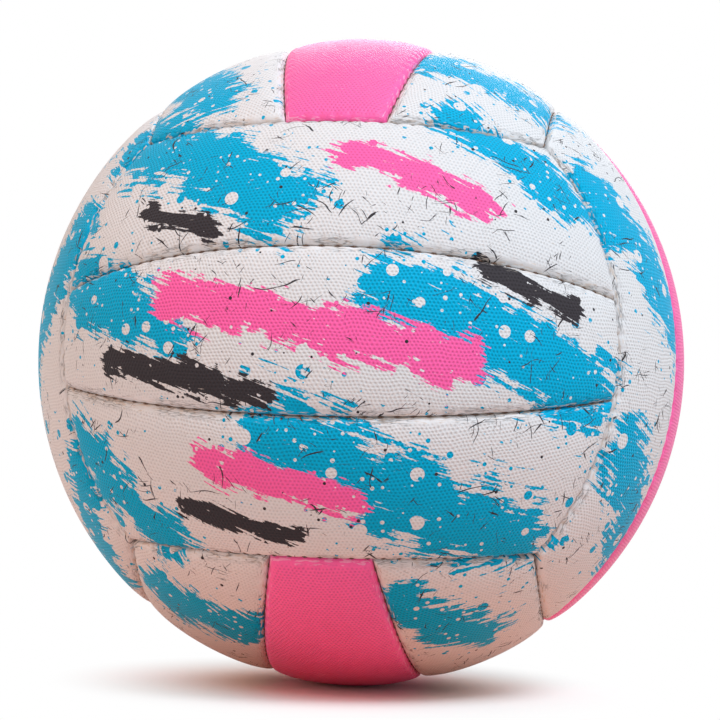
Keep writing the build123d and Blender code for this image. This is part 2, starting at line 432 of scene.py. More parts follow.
def printed_rubber(sizes, colours):
    """White pimpled rubber, moulded and then printed: brushed blue, pink and charcoal ink, fine scratches.

    Matt and a little soft to the eye, glossier where blue ink lies on it, scuffed at the seams, creased
    there with a bump and painted shade, and painted shade in its dots.
    """
    made, tree, shader = new_material("printed_pimpled_rubber")
    place, edge = strip_coordinates(tree)
    ragged_share = 1.6
    ink_starts = 1.90
    ink_covers = 1.95
    ragged = ragged_edge(tree, place)
    large_drops = spatter(tree, place, cell_mm=8.5, largest=0.30)
    fine_drops = spatter(tree, place, cell_mm=2.8, largest=0.26)
    drops = put(tree, "Math", {0: large_drops, 1: fine_drops}, operation="ADD")

    # Each ink covers what lies below it, and the painted shade that darkens the grip's dots is deeper or
    # lighter on each ink
    colour = linear(colours.white)
    painted_pit_shade = 0.16
    covers = {}
    for ink, hex_value, drop_share, ink_painted_pit_shade in (
        ("blue", colours.blue, 0.7, 0.34),
        ("pink", colours.pink, 0.25, 0.24),
        ("charcoal", colours.charcoal, 0.3, 0.2),
    ):
        stroke = put(tree, "Attribute", attribute_name="print_" + ink).outputs["Fac"]
        rough = put(tree, "Math", {0: ragged, 1: ragged_share, 2: stroke}, operation="MULTIPLY_ADD")
        dotted = put(tree, "Math", {0: drops, 1: drop_share, 2: rough}, operation="MULTIPLY_ADD")
        covers[ink] = put(
            tree,
            "MapRange",
            {"Value": dotted, "From Min": ink_starts, "From Max": ink_covers},
            interpolation_type="SMOOTHSTEP",
        )
        inked = put(
            tree,
            "Mix",
            {"Factor": covers[ink], COLOUR_A: colour, COLOUR_B: linear(hex_value)},
            data_type="RGBA",
        )
        colour = inked.outputs[MIXED_COLOUR]
        shade = put(tree, "Mix", {"Factor": covers[ink], VALUE_A: painted_pit_shade, VALUE_B: ink_painted_pit_shade})
        painted_pit_shade = shade.outputs[MIXED_VALUE]

    scratches = crossed_scratches(tree, place)
    specks, _ = round_dots(
        tree, place, cell_mm=6.5, largest=0.085, chance="Blue", least=0.78, randomness=1.0
    )
    dark_marks = put(tree, "Math", {0: scratches, 1: specks}, operation="MAXIMUM")
    marked = put(
        tree,
        "Mix",
        {"Factor": dark_marks, COLOUR_A: colour, COLOUR_B: linear(colours.charcoal)},
        data_type="RGBA",
    )
    # The dots and creases get painted shade here, besides their bump
    finish_rubber(
        tree,
        shader,
        marked.outputs[MIXED_COLOUR],
        colours.scuff,
        place,
        edge,
        sizes.dot_pitch / MM,
        crease_share=1.0,
        painted_pit_shade=painted_pit_shade,
    )
    gloss = put(tree, "MapRange", {"Value": covers["blue"], "To Min": 0.55, "To Max": 0.45})
    tree.links.new(gloss.outputs["Result"], shader.inputs["Roughness"])
    shader.inputs["Specular IOR Level"].default_value = 0.07
    return made


def pink_rubber(sizes, colours):
    """Pink pimpled rubber, coloured through and moulded: bright, a little glossy, paler on worn rolls."""
    made, tree, shader = new_material("pink_pimpled_rubber")
    place, edge = strip_coordinates(tree)
    cloud_mm = 30.0
    cloud = put(
        tree, "TexNoise", {"Vector": place, "Scale": 1 / cloud_mm, "Detail": 3.0}, noise_dimensions="2D"
    )
    tone = put(tree, "MapRange", {"Value": cloud, "To Min": 0.90, "To Max": 1.06})
    clouded = put(
        tree,
        "Mix",
        {"Factor": 1.0, COLOUR_A: linear(colours.pink), COLOUR_B: tone},
        data_type="RGBA",
        blend_type="MULTIPLY",
    )
    # The dots and, faintly, the creases of the pink rubber get painted shade
    finish_rubber(
        tree,
        shader,
        clouded.outputs[MIXED_COLOUR],
        colours.pink_scuff,
        place,
        edge,
        sizes.dot_pitch / MM,
        crease_share=0.3,
        painted_pit_shade=0.26,
    )
    shader.inputs["Roughness"].default_value = 0.40
    shader.inputs["Specular IOR Level"].default_value = 0.22
    return made


def plain_finish(tree, shader, hex_value, tone, height, depth, roughness):
    """One colour, lighter and darker by a tone, with a roughness and a relief of this depth as a bump."""
    toned = put(
        tree,
        "Mix",
        {"Factor": 1.0, COLOUR_A: linear(hex_value), COLOUR_B: tone},
        data_type="RGBA",
        blend_type="MULTIPLY",
    )
    tree.links.new(toned.outputs[MIXED_COLOUR], shader.inputs["Base Color"])
    shader.inputs["Roughness"].default_value = roughness
    bump = put(tree, "Bump", {"Height": height, "Distance": depth})
    tree.links.new(bump.outputs["Normal"], shader.inputs["Normal"])


def waxed_thread(colours):
    """Twisted polyester thread, waxed: fine slanting plies with a dull sheen."""
    made, tree, shader = new_material("waxed_polyester_thread")
    ply = 0.7 * MM
    place = put(tree, "TexCoord").outputs["Object"]
    wave = put(tree, "TexWave", {"Vector": place, "Scale": WAVE_PERIOD / ply, "Distortion": 3.0})
    plies = wave.outputs["Fac"]
    tone = put(tree, "MapRange", {"Value": plies, "To Min": 0.62, "To Max": 1.0})
    plain_finish(tree, shader, colours.thread, tone, plies, depth=0.08 * MM, roughness=0.55)
    return made


def woven_cloth(colours):
    """Polyester and cotton backing cloth: a plain weave, its fibres dulled by glue."""
    made, tree, shader = new_material("woven_backing_cloth")
    thread_spacing = 0.6 * MM
    place = put(tree, "TexCoord").outputs["Object"]
    threads = []
    for direction in ("X", "Z"):
        wave = put(
            tree,
            "TexWave",
            {"Vector": place, "Scale": WAVE_PERIOD / thread_spacing},
            bands_direction=direction,
        )
        threads.append(wave.outputs["Fac"])
    weave = put(tree, "Math", {0: threads[0], 1: threads[1]}, operation="MULTIPLY")
    tone = put(tree, "MapRange", {"Value": weave, "To Min": 0.75, "To Max": 1.0})
    plain_finish(tree, shader, colours.cloth, tone, weave, depth=0.15 * MM, roughness=0.9)
    return made


def black_rubber(name, colours, roughness):
    """Moulded black rubber: a fine mould grain, and a faint grey bloom in patches."""
    made, tree, shader = new_material(name)
    bloom_size = 12.0 * MM
    grain_size = 0.5 * MM
    place = put(tree, "TexCoord").outputs["Object"]
    bloom = put(tree, "TexNoise", {"Vector": place, "Scale": 1 / bloom_size, "Detail": 4.0})
    tone = put(
        tree,
        "MapRange",
        {"Value": bloom, "From Min": 0.3, "From Max": 0.8, "To Min": 0.85, "To Max": 1.5},
    )
    grain = put(tree, "TexNoise", {"Vector": place, "Scale": 1 / grain_size, "Detail": 2.0})
    plain_finish(tree, shader, colours.black_rubber, tone, grain, depth=0.05 * MM, roughness=roughness)
    return made


# Seam layout


class Seams:
    """Where the seams of one group lie, as angles: along the strip, and across it about its own axis."""

    def __init__(self, sizes):
        corner = 1 / sqrt(3)
        rise = sin(sizes.border_seam_angle) - corner
        depth = cos(sizes.border_seam_angle) - corner
        self.radius = sizes.ball_radius
        self.inner = sizes.inner_seam_angle
        self.border = sizes.border_seam_angle
        self.tilt = atan2(rise, depth)
        self.opening = acos((cos(self.tilt) - sin(self.tilt)) * corner)

    def inner_edge(self, along, offset):
        """Across angle of the line that lies outside an inner seam by this offset."""
        return self.inner + np.arcsin(sin(offset / self.radius) / np.cos(along))

    def border_edge(self, along, offset):
        """Across angle of the line inside a group's long border by this offset."""
        return self.tilt + np.arcsin(cos(self.opening + offset / self.radius) / np.cos(along))

    def end_edge(self, across, offset):
        """Along angle of the line inside a strip's end by this offset."""
        level = cos(self.tilt) * np.cos(across)
        reach = np.arccos(cos(self.opening - offset / self.radius) / np.hypot(sin(self.tilt), level))
        return np.arctan2(-sin(self.tilt), level) + reach

    def inner_run(self, along, across, side):
        """Distance outside an inner seam, and the place along it."""
        gap = np.arcsin(np.cos(along) * np.sin(side * across - self.inner))
        return self.radius * gap, self.radius * along

    def border_run(self, along, across):
        """Distance inside the long border, and the place along it."""
        lean = np.arccos(np.cos(along) * np.sin(across - self.tilt))
        turn = np.arctan2(np.sin(along), np.cos(along) * np.cos(across - self.tilt))
        return self.radius * (lean - self.opening), self.radius * sin(self.opening) * turn

    def end_run(self, along, across, end):
        """Distance inside a strip's end, and the place along the border that closes it."""
        level = np.cos(along) * np.cos(across)
        lean = np.arccos(-end * np.sin(along) * sin(self.tilt) + level * cos(self.tilt))
        ahead = sin(self.tilt) * level + end * cos(self.tilt) * np.sin(along)
        turn = np.arctan2(np.cos(along) * np.sin(across), ahead)
        return self.radius * (self.opening - lean), self.radius * sin(self.opening) * turn

    def border_reach(self):
        """Length of a long border from its middle to the corner where three groups meet."""
        return self.radius * sin(self.opening) * atan2(1.0, sin(self.tilt) + cos(self.tilt))

    def border_line(self, place):
        """Directions on the long border, as shares along, across and outward, at places from its middle."""
        turn = place / (self.radius * sin(self.opening))
        level = sin(self.opening) * np.cos(turn)
        across = cos(self.opening) * cos(self.tilt) + level * sin(self.tilt)
        out = level * cos(self.tilt) - cos(self.opening) * sin(self.tilt)
        return np.stack([sin(self.opening) * np.sin(turn), across, out], axis=1)


def strip_axes(along, outward):
    """Rows: along the strip, across it and outward, in the part's frame."""
    return np.array([along, np.cross(outward, along), outward], float)


def directions(axes, along, across):
    """Directions from the ball's centre, in the part's frame, for angles on a strip."""
    level = np.cos(along)
    return np.stack([np.sin(along), level * np.sin(across), level * np.cos(across)], axis=1) @ axes


# Selection


def deselect_all():
    """Leaves no object selected, because an operator acts on all that are."""
    bpy.ops.object.select_all(action="DESELECT")


def activate(first, *others):
    """Selects these objects alone, the first as the active one."""
    deselect_all()
    for piece in (first, *others):
        piece.select_set(True)
    bpy.context.view_layer.objects.active = first


def deselect_mesh(kind):
    """In edit mode, leaves nothing selected and sets what is selected next: EDGE or FACE."""
    bpy.ops.mesh.select_mode(type=kind)
    bpy.ops.mesh.select_all(action="DESELECT")


def select_rim():
    """In edit mode, selects the mesh's open edges and nothing else."""
    deselect_mesh("EDGE")
    bpy.ops.mesh.select_non_manifold(
        extend=False, use_wire=False, use_multi_face=False, use_non_contiguous=False, use_verts=False
    )


# Print

# Brushed strokes, from one place on the ball to another as azimuth and elevation in degrees (0 is the
# front), and half their width in millimetres
STROKES = {
    "blue": (
        ((-46, 35), (-8, 21), 18),
        ((24, 37), (44, 24), 13),
        ((-46, 8), (-26, 0), 16),
        ((12, 6), (46, -8), 18),
        ((-6, -15), (36, -32), 19),
        ((-46, -18), (-32, -33), 14),
        ((-64, 54), (-30, 44), 16),
        ((18, 58), (52, 46), 16),
        ((52, 26), (72, 6), 17),
        ((58, -16), (76, -34), 16),
        ((-54, 18), (-74, -8), 17),
        ((-52, -22), (-66, -42), 14),
        ((-44, -46), (-14, -56), 15),
        ((18, -46), (46, -53), 13),
    ),
    "pink": (
        ((-24, 5), (22, -4), 10),
        ((-18, -20), (6, -26), 8),
        ((4, 29), (26, 21), 8),
    ),
    "charcoal": (
        ((-36, -4), (-8, -10), 6.5),
        ((26, 10), (41, 5), 5.5),
        ((-24, -28), (-4, -32), 5),
        ((-32, 19), (-18, 15.5), 5),
    ),
}


def place_on_ball(azimuth, elevation):
    """A direction from the ball's centre: azimuth 0 is the front, to the right positive."""
    level = cos(radians(elevation))
    return np.array([sin(radians(azimuth)) * level, -cos(radians(azimuth)) * level, sin(radians(elevation))])


def print_field(way, strokes, radius):
    """How far inside a stroke each direction lies: 1 on its line, 0 at its edge, below 0 outside."""
    best = np.full(len(way), -1.0)

    # The front carries the strokes, and the back carries them again
    for turn in (0, 180):
        for start, stop, half_width_mm in strokes:
            a = place_on_ball(start[0] + turn, start[1])
            b = place_on_ball(stop[0] + turn, stop[1])
            normal = np.cross(a, b)
            normal /= np.linalg.norm(normal)
            aside = np.abs(np.arcsin(np.clip(way @ normal, -1, 1)))
            ahead = np.cross(a, way) @ normal > 0
            short = np.cross(way, b) @ normal > 0
            within = ahead & short & (way @ (a + b) > 0)
            beyond = np.minimum(np.arccos(np.clip(way @ a, -1, 1)), np.arccos(np.clip(way @ b, -1, 1)))
            distance = np.where(within, aside, beyond) * radius
            best = np.maximum(best, 1 - distance / (half_width_mm * MM))
    return np.clip(best, -1.0, 1.0)


# Rubber strips

ROLL_STEPS = 6
SKIN_STEPS_MM = (2.7, 3.6, 4.8, 6.4)
COLUMNS = 280
ROWS = 56
SETTLE_ROUNDS = 8
CORNER_SHARPNESS = 6
PUCKER_SHARPNESS = 6
LEAST_DISTANCE = 0.001 * MM

# Each strip reads the print's pattern this much further along, so no two strips look alike
PATTERN_SHIFT_MM = 400.0


def edge_steps(roll):
    """Distances from a wall, close together where the edge rolls over."""
    rolled = [roll * (1 - cos(pi / 2 * step / ROLL_STEPS)) for step in range(ROLL_STEPS + 1)]
    return np.array(rolled + [step * MM for step in SKIN_STEPS_MM])


def spread(index, count, length, steps):
    """Distance along a run for a row number: fixed steps at both ends, even ones between."""
    last = len(steps) - 1
    low = steps[np.clip(index, 0, last)]
    high = length - steps[np.clip(count - index, 0, last)]
    even = steps[last] + (length - 2 * steps[last]) * (index - last) / (count - 2 * last)
    return np.where(index <= last, low, np.where(index >= count - last, high, even))


def strip_grid(seams, is_middle, wall, steps):
    """A fresh grid object and, for each vertex, its along and across angles."""
    deselect_all()
    bpy.ops.mesh.primitive_grid_add(x_subdivisions=COLUMNS, y_subdivisions=ROWS, size=2.0, location=CENTRE)
    sheet = bpy.context.object
    flat = np.empty(len(sheet.data.vertices) * 3)
    sheet.data.vertices.foreach_get("co", flat)
    flat = flat.reshape(-1, 3)
    column = np.rint((flat[:, 0] + 1) / 2 * COLUMNS).astype(int)
    row = np.rint((flat[:, 1] + 1) / 2 * ROWS).astype(int)
    along = np.zeros(len(flat))
    across = np.full(len(flat), 0.0 if is_middle else (seams.inner + seams.border) / 2)
    for _ in range(SETTLE_ROUNDS):
        end = seams.end_edge(across, wall)
        along = spread(column, COLUMNS, 2 * end * seams.radius, steps) / seams.radius - end
        if is_middle:
            high = seams.inner_edge(along, -wall)
            low = -high
        else:
            high = seams.border_edge(along, wall)
            low = seams.inner_edge(along, wall)
        level = seams.radius * np.cos(along)
        across = low + spread(row, ROWS, level * (high - low), steps) / level
    return sheet, along, across


def edge_runs(seams, is_middle, along, across, wall):
    """For the strip's four edges: distance from the wall, and the place along the seam."""
    runs = [seams.end_run(along, across, end) for end in (1, -1)]
    if is_middle:
        for side in (1, -1):
            distance, place = seams.inner_run(along, across, side)
            runs.append((-distance, place))
    else:
        runs.append(seams.inner_run(along, across, 1))
        runs.append(seams.border_run(along, across))
    return [(np.maximum(distance - wall, 0.0), place) for distance, place in runs]


def nearest_edge(runs):
    """Distance to the nearest of the four edges, rounded off where two of them meet."""
    shares = [(distance + LEAST_DISTANCE) ** -CORNER_SHARPNESS for distance, _ in runs]
    return np.maximum(sum(shares) ** (-1 / CORNER_SHARPNESS) - LEAST_DISTANCE, 0.0)


def write_attribute(mesh, name, values):
    """Keeps one number for each vertex, for a material to read."""
    mesh.attributes.new(name, "FLOAT", "POINT").data.foreach_set("value", values.astype(np.float32))


def lay_flat(mesh, seams, axes, is_middle, along, across, pattern_shift):
    """Flat coordinates in millimetres, true to size along the strip's own middle line."""
    middle = 0.0 if is_middle else (seams.inner + seams.border) / 2
    level = np.cos(along)
    flat_u = seams.radius * np.arctan2(np.sin(along), level * np.cos(across - middle)) / MM
    flat_v = seams.radius * np.arcsin(level * np.sin(across - middle)) / MM

    # The pattern's first axis is level on all sides of the ball, whichever way the strip runs
    if axes[0][0] == 0:
        flat_u, flat_v = flat_v, -flat_u
    flat_u += pattern_shift
    corners = np.empty(len(mesh.loops), int)
    mesh.loops.foreach_get("vertex_index", corners)
    mesh.uv_layers[0].name = "UVMap"
    mesh.uv_layers[0].data.foreach_set("uv", np.stack([flat_u, flat_v], axis=1)[corners].ravel())


def strip_sheet(sizes, seams, axes, is_middle, outer, pattern_shift):
    """One skin of a strip, rolled at its edges, with its flanges turned in."""
    inset = 0.0 if outer else sizes.cover_thickness
    wall = sizes.wall_gap + inset
    roll = sizes.edge_roll - inset
    skin = sizes.ball_radius - inset
    sheet, along, across = strip_grid(seams, is_middle, wall, edge_steps(roll))
    runs = edge_runs(seams, is_middle, along, across, wall)
    nearest = nearest_edge(runs)
    drop = roll - np.sqrt(roll**2 - np.maximum(roll - nearest, 0.0) ** 2)
    radius = skin - drop
    if outer:
        radius += sizes.crown_rise - sizes.crown_drop * np.exp(-nearest / sizes.crown_reach)
        for distance, place in runs:
            pull = np.cos(pi * place / sizes.stitch_pitch) ** PUCKER_SHARPNESS
            radius -= sizes.pucker_depth * pull * np.exp(-((distance / sizes.pucker_reach) ** 2))
    way = directions(axes, along, across)
    mesh = sheet.data
    mesh.vertices.foreach_set("co", (way * radius[:, None]).ravel())
    lay_flat(mesh, seams, axes, is_middle, along, across, pattern_shift)
    write_attribute(mesh, "edge_mm", nearest / MM)
    for ink, strokes in STROKES.items():
        write_attribute(mesh, "print_" + ink, print_field(way, strokes, sizes.ball_radius))
    mesh.update()

    # The rim is drawn out towards the ball's centre as a flange
    bpy.ops.object.mode_set(mode="EDIT")
    select_rim()
    bpy.ops.mesh.extrude_region_move()
    bpy.ops.object.mode_set(mode="OBJECT")
    depth = sizes.ball_radius - sizes.flange_depth
    for vertex in mesh.vertices:
        if vertex.select:
            vertex.co = vertex.co.normalized() * depth
    if not outer:
        bpy.ops.object.mode_set(mode="EDIT")
        bpy.ops.mesh.select_all(action="SELECT")
        bpy.ops.mesh.flip_normals()
        bpy.ops.object.mode_set(mode="OBJECT")
    return sheet


def build_strip(sizes, seams, name, axes, is_middle, pattern_shift):
    """A strip as a closed tray: outer and inner skin, joined along the flange's edge."""
    outer = strip_sheet(sizes, seams, axes, is_middle, True, pattern_shift)
    inner = strip_sheet(sizes, seams, axes, is_middle, False, pattern_shift)
    activate(outer, inner)
    bpy.ops.object.join()
    bpy.ops.object.mode_set(mode="EDIT")
    select_rim()
    bpy.ops.mesh.bridge_edge_loops()
    bpy.ops.object.mode_set(mode="OBJECT")
    bpy.ops.object.shade_smooth_by_angle(angle=radians(60))
    outer.name = name
    outer.data.name = name
    return outer


class NETBALL_OT_strips(bpy.types.Operator):
    """Build the eighteen rubber strips over the part's panels"""

    bl_idname = "netball.strips"
    bl_label = "Rubber Strips"

    def execute(self, context):
        sizes = context.scene.netball_sizes
        colours = context.scene.netball_colours
        seams = Seams(sizes)
        printed = printed_rubber(sizes, colours)
        pink = pink_rubber(sizes, colours)
        number = 0
        for group, (along, outward, outer_names) in GROUPS.items():
            back = tuple(-share for share in along)
            for strip, is_middle, run in (
                (outer_names[0], False, along),
                ("middle", True, along),
                (outer_names[1], False, back),
            ):
                number += 1
                name = f"strip_{group}_{strip}"
                axes = strip_axes(run, outward)
                piece = build_strip(sizes, seams, name, axes, is_middle, PATTERN_SHIFT_MM * number)
                is_pink = is_middle and group in PINK_GROUPS
                piece.data.materials.clear()
                piece.data.materials.append(pink if is_pink else printed)
                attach(piece, BODY)
                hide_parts(f"panel_{group}_{strip}")
        return {"FINISHED"}


# Seam thread

STITCH_STEPS = 8
STITCH_SHARPNESS = 4
SEAM_END_GAP = 1.5 * MM
THREAD_DEPTH = 1.95 * MM
STITCH_LIFT = 0.7 * MM

# Shares of the thread's own thickness: pulled thin between stitches, and how much fuller at a stitch
THIN_SHARE = 0.19
FULLER_SHARE = 0.45


def stitch_places(reach, pitch):
    """Places along a seam, from its middle both ways, a few for each stitch."""
    count = int(reach / pitch * STITCH_STEPS)
    return np.linspace(-reach, reach, 2 * count + 1)


def sew(sizes, name, lines, rim):
    """One mesh of thread along the given lines: thick and high at a stitch, thin and deep between."""
    curve = bpy.data.curves.new(name, "CURVE")
    curve.dimensions = "3D"
    curve.bevel_depth = sizes.thread_diameter / 2
    curve.bevel_resolution = 2
    curve.use_fill_caps = True
    for way, place in lines:
        lift = np.cos(pi * place / sizes.stitch_pitch) ** STITCH_SHARPNESS
        radius = rim - THREAD_DEPTH + STITCH_LIFT * lift
        points = way * radius[:, None]
        spline = curve.splines.new("POLY")
        spline.points.add(len(points) - 1)
        spline.points.foreach_set("co", np.column_stack([points, np.ones(len(points))]).ravel())
        spline.points.foreach_set("radius", THIN_SHARE + FULLER_SHARE * lift)
    piece = bpy.data.objects.new(name, curve)
    bpy.context.collection.objects.link(piece)
    activate(piece)
    bpy.ops.object.convert(target="MESH")
    bpy.ops.object.shade_smooth()
    return piece


class NETBALL_OT_threads(bpy.types.Operator):
    """Sew the seams: thread that shows as a small bump at each stitch and is pulled into the seam between"""

    bl_idname = "netball.threads"
    bl_label = "Seam Thread"

    def execute(self, context):
        sizes = context.scene.netball_sizes
        finish = waxed_thread(context.scene.netball_colours)
        seams = Seams(sizes)
        rim = sizes.ball_radius + sizes.crown_rise - sizes.crown_drop
        inner_reach = seams.end_edge(np.array([seams.inner]), 0.0)[0] * seams.radius - SEAM_END_GAP
        inner_places = stitch_places(inner_reach, sizes.stitch_pitch)
        inner_angles = inner_places / seams.radius
        border_places = stitch_places(seams.border_reach() - SEAM_END_GAP, sizes.stitch_pitch)
        for group, (along, outward, _) in GROUPS.items():
            lines = []
            for side in (1, -1):
                axes = strip_axes(tuple(side * share for share in along), outward)
                inner_way = directions(axes, inner_angles, np.full(len(inner_angles), seams.inner))
                lines.append((inner_way, inner_places))
                lines.append((seams.border_line(border_places) @ axes, border_places))
            piece = sew(sizes, f"seam_thread_{group}", lines, rim)
            piece.data.materials.append(finish)
            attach(piece, BODY)
            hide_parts(f"thread_{group}")
        return {"FINISHED"}


# Valve

VALVE_HOLE_RADIUS = 5.6 * MM
HOLE_SIDES = 96
PLUG_SIDES = 48
BULB_STEPS = 8
LIP_STEPS = 4
RING_TOLERANCE = 0.01 * MM


def punch_hole(strip, sizes):
    """A round hole through the strip, for the valve's stem."""
    deselect_all()
    bpy.ops.mesh.primitive_cylinder_add(
        vertices=HOLE_SIDES,
        radius=VALVE_HOLE_RADIUS,
        depth=4 * sizes.flange_depth,
        location=(0, sizes.ball_radius, 0),
        rotation=(pi / 2, 0, 0),
    )
    cutter = bpy.context.object
    activate(strip)
    hole = strip.modifiers.new("valve_hole", "BOOLEAN")
    hole.operation = "DIFFERENCE"
    hole.object = cutter
    bpy.ops.object.modifier_apply(modifier=hole.name)
    bpy.data.objects.remove(cutter)


def draw_out(depth, share):
    """Extrudes the selected end of the plug along Y and scales it about the plug's own axis."""
    bpy.ops.mesh.extrude_region_move(TRANSFORM_OT_translate={"value": (0, depth, 0)})
    bpy.ops.transform.resize(value=(share, 1, share), center_override=CENTRE)


def select_end(mesh, outer):
    """Selects the face that closes the plug at its outer or its inner end, in edit mode."""
    bpy.ops.object.mode_set(mode="EDIT")
    deselect_mesh("FACE")
    bpy.ops.object.mode_set(mode="OBJECT")
    by_height = sorted(mesh.polygons, key=lambda face: face.center.y)
    by_height[-1 if outer else 0].select = True
    bpy.ops.object.mode_set(mode="EDIT")


def select_rings(mesh, rings):
    """Selects the edges that lie on the given rings, each a radius and a height along Y, in edit mode."""
    bpy.ops.object.mode_set(mode="EDIT")
    deselect_mesh("EDGE")
    bpy.ops.object.mode_set(mode="OBJECT")
    for radius, height in rings:
        on_ring = [
            abs(hypot(v.co.x, v.co.z) - radius) < RING_TOLERANCE and abs(v.co.y - height) < RING_TOLERANCE
            for v in mesh.vertices
        ]
        for edge in mesh.edges:
            if all(on_ring[at] for at in edge.vertices):
                edge.select = True
    bpy.ops.object.mode_set(mode="EDIT")


def mould_plug(name, low, high):
    """The valve plug: a head with shank and bulb drawn out below, funnel and needle hole drawn in above."""
    bulb = (high.x - low.x) / 2
    face = high.y
    head = 4.2 * MM
    head_thickness = 1.0 * MM
    shank = 3.1 * MM
    bulb_length = 5.0 * MM
    bore = 1.0 * MM
    bore_depth = 14.0 * MM
    funnel = 2.0 * MM
    funnel_depth = 0.8 * MM
    lip = 0.35 * MM
    deselect_all()
    bpy.ops.mesh.primitive_cylinder_add(
        vertices=PLUG_SIDES,
        radius=head,
        depth=head_thickness,
        location=(0, face - head_thickness / 2, 0),
        rotation=(-pi / 2, 0, 0),
    )
    plug = bpy.context.object
    plug.name = name
    plug.data.name = name
    bpy.ops.object.transform_apply(location=True, rotation=True, scale=True)

    # Shank, shoulder and rounded bulb
    bulb_top = low.y + bulb_length
    select_end(plug.data, False)
    draw_out(0, shank / head)
    draw_out(bulb_top - (face - head_thickness), 1)
    draw_out(0, bulb / shank)
    angles = [pi / 2 * step / (BULB_STEPS + 1) for step in range(BULB_STEPS + 1)]
    for before, after in zip(angles, angles[1:]):
        draw_out(bulb_length * (sin(before) - sin(after)), cos(after) / cos(before))

    # Funnel and needle hole
    select_end(plug.data, True)
    draw_out(0, funnel / head)
    draw_out(-funnel_depth, bore / funnel)
    draw_out(-bore_depth, 1)

    # Moulded edges are round: the head's rim, the funnel's mouth and the bulb's shoulder
    select_rings(plug.data, ((head, face), (funnel, face), (bulb, bulb_top)))
    bpy.ops.mesh.bevel(offset=lip, segments=LIP_STEPS, affect="EDGES")
    bpy.ops.object.mode_set(mode="OBJECT")
    bpy.ops.object.shade_smooth_by_angle(angle=radians(40))
    return plug


class NETBALL_OT_valve(bpy.types.Operator):
    """Cut the valve's hole into its strip and mould the plug with its needle hole"""

    bl_idname = "netball.valve"
    bl_label = "Valve"

    def execute(self, context):
        rubber = black_rubber("moulded_valve_rubber", context.scene.netball_colours, roughness=0.42)
        punch_hole(bpy.data.objects["strip_" + VALVE_PANEL], context.scene.netball_sizes)
        plug = mould_plug("needle_plug", *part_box("valve_plug"))
        plug.data.materials.append(rubber)
        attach(plug, BODY)
        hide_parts("valve_plug")
        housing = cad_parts["valve_housing"]
        housing.data.materials.clear()
        housing.data.materials.append(rubber)
        return {"FINISHED"}


# Inner pieces


class NETBALL_OT_insides(bpy.types.Operator):
    """Finish the pieces inside that stay as the part has them: backings and bladder"""

    bl_idname = "netball.insides"
    bl_label = "Inner Pieces"

    def execute(self, context):
        colours = context.scene.netball_colours
        finishes = {
            "backing": woven_cloth(colours),
            "bladder": black_rubber("moulded_butyl", colours, roughness=0.5),
        }
        for name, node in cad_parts.items():
            finish = finishes.get(name.split("_")[0])
            if finish:
                node.data.materials.clear()
                node.data.materials.append(finish)
        return {"FINISHED"}


# Studio

FLOOR_RADIUS = 4.0
FLOOR_SIDES = 96
AIR_STRENGTH = 0.50
SEEN_STRENGTH = 1.0
WHITE = (1, 1, 1, 1)

# Floor colours: to the camera, and as the ball is lit by it from near and from far
FLOOR_SEEN = "FAF8F7"
FLOOR_NEAR = "F0AE92"
FLOOR_FAR = "D2D0D0"

# In ball radii from under the ball's centre: where the shadow fades out, and where the warm floor ends
SHADOW_FADE = (0.30, 0.95)
WARM_FADE = (0.9, 2.2)

# Place and size in metres, power in watts, and tint: a cool key from the upper right, a warm fill
# from the left, and a plain lamp for the back
LAMPS = {
    "key_lamp": ((0.75, -0.80, 1.35), 0.55, 22.8, "EAF2FD"),
    "fill_lamp": ((-1.4, -0.8, 0.55), 1.0, 8.4, "FFB584"),
    "back_lamp": ((0.0, 1.6, 0.9), 1.0, 11.5, "FBFAF8"),
}

# The camera as the photograph has it: turned about the ball, near its height, a long lens
CAMERA_YAW = radians(-6.78)
CAMERA_PITCH = radians(-4.77)
CAMERA_ROLL = radians(1.85)
CAMERA_RADII_AWAY = 5.32
CAMERA_LENS_MM = 84.0
CAMERA_SENSOR_MM = 36.0
FRAME_PIXELS = 720
SHIFT_PIXELS = (-1.0, 2.3)


def seen_share(tree):
    """1 for a ray that shows the background: from the camera, mirrored, or through a clear piece."""
    path = put(tree, "LightPath")
    seen = path.outputs["Is Camera Ray"]
    for kind in ("Is Glossy Ray", "Is Transmission Ray"):
        seen = put(tree, "Math", {0: seen, 1: path.outputs[kind]}, operation="MAXIMUM")
    return seen


def floor_paint(radius):
    """Matt paint, white to the camera and warm where it lights the ball, with the ball's shadow kept."""
    made = bpy.data.materials.new("pale_floor_paint")
    made.use_nodes = True
    tree = made.node_tree
    tree.nodes.clear()
    place = put(tree, "TexCoord").outputs["Object"]
    flat = put(tree, "VectorMath", {0: place, 1: (1.0, 1.0, 0.0)}, operation="MULTIPLY")
    away = put(tree, "VectorMath", {0: flat}, operation="LENGTH").outputs["Value"]
    unshaded = put(
        tree,
        "MapRange",
        {"Value": away, "From Min": SHADOW_FADE[0] * radius, "From Max": SHADOW_FADE[1] * radius},
        interpolation_type="SMOOTHSTEP",
    )
    seen = seen_share(tree)
    white = put(tree, "Math", {0: unshaded, 1: seen}, operation="MULTIPLY")
    far = put(
        tree,
        "MapRange",
        {"Value": away, "From Min": WARM_FADE[0] * radius, "From Max": WARM_FADE[1] * radius},
    )
    bounce = put(
        tree,
        "Mix",
        {"Factor": far, COLOUR_A: linear(FLOOR_NEAR), COLOUR_B: linear(FLOOR_FAR)},
        data_type="RGBA",
    )
    tint = put(
        tree,
        "Mix",
        {"Factor": seen, COLOUR_A: bounce.outputs[MIXED_COLOUR], COLOUR_B: linear(FLOOR_SEEN)},
        data_type="RGBA",
    )
    paint = put(tree, "BsdfDiffuse", {"Color": tint.outputs[MIXED_COLOUR]})
    glow = put(tree, "Emission", {"Color": WHITE, "Strength": 1.0})
    mix = put(tree, "MixShader", {0: white, 1: paint, 2: glow})
    put(tree, "OutputMaterial", {"Surface": mix})
    return made


